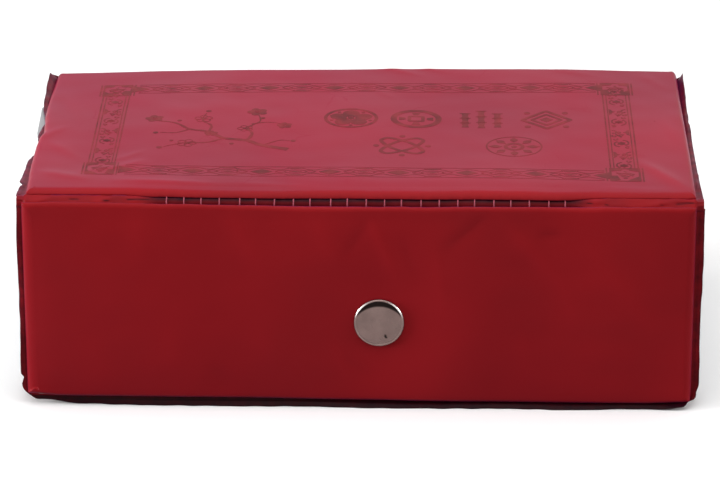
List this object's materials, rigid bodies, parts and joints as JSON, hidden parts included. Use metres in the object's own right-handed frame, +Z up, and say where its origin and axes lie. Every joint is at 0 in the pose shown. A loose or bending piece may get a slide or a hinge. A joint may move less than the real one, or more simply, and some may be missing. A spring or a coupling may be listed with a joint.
{
  "type": "mahjong case",
  "caption": "Travel mahjong case: moulded tray of tiles in a wrap-around padded PVC cover with a hinged lid and a snap-closed front flap.",
  "frame": {"origin": "middle of the footprint, on the surface that the case stands on", "axes": "+X along the case to the right as seen from the flap, -Y towards the flap, +Z up"},
  "size_m": [0.2039, 0.1184, 0.0681],
  "materials": {
    "cover_film": "soft red PVC film, semi-gloss, slightly wrinkled",
    "lining_film": "dark red PVC film",
    "welded_film": "two films welded together, darker and semi-translucent",
    "greyboard": "pressed greyboard",
    "tray_plastic": "moulded light grey polystyrene",
    "tape": "double-sided tape",
    "tile_plastic": "polished two-layer moulded tile",
    "dice_plastic": "polished",
    "nickel_plate": "nickel plated pressed metal",
    "spring_wire": "drawn wire",
    "brass": "plain brass"
  },
  "bodies": {
    "case": {"front_wall_outer_film": "cover_film", "front_wall_board": "greyboard", "front_wall_inner_film": "lining_film", "bottom_outer_film": "cover_film", "bottom_board": "greyboard", "bottom_inner_film": "lining_film", "back_outer_film": "cover_film", "back_board": "greyboard", "back_inner_film": "lining_film", "bottom_front_weld": "welded_film", "bottom_back_weld": "welded_film", "tray": "tray_plastic", "tray_tape_strips": "tape", "tiles_layer_1": "tile_plastic", "tiles_layer_2": "tile_plastic", "tiles_layer_3": "tile_plastic", "tiles_layer_4": "tile_plastic", "spare_tiles": "tile_plastic", "dice": "dice_plastic", "snap_stud": "nickel_plate", "snap_stud_rivet": "brass"},
    "lid": {"lid_outer_film": "cover_film", "lid_board": "greyboard", "lid_inner_film": "lining_film", "back_hinge_web": "welded_film"},
    "flap": {"flap_outer_film": "cover_film", "flap_board": "greyboard", "flap_inner_film": "lining_film", "front_hinge_web": "welded_film", "snap_cap": "nickel_plate", "snap_cap_post": "brass", "snap_socket": "nickel_plate", "snap_spring": "spring_wire"}
  },
  "joints": [
    {"name": "lid_hinge", "type": "hinge", "parent": "case", "child": "lid", "pos_m": [0, 0.05661, 0.0655], "axis": [-1, 0, 0], "range_deg": [0, 175], "deforming": ["back_hinge_web"]},
    {"name": "flap_hinge", "type": "hinge", "parent": "lid", "child": "flap", "pos_m": [0, -0.05521, 0.0655], "axis": [-1, 0, 0], "range_deg": [0, 175], "deforming": ["front_hinge_web"]}
  ]
}
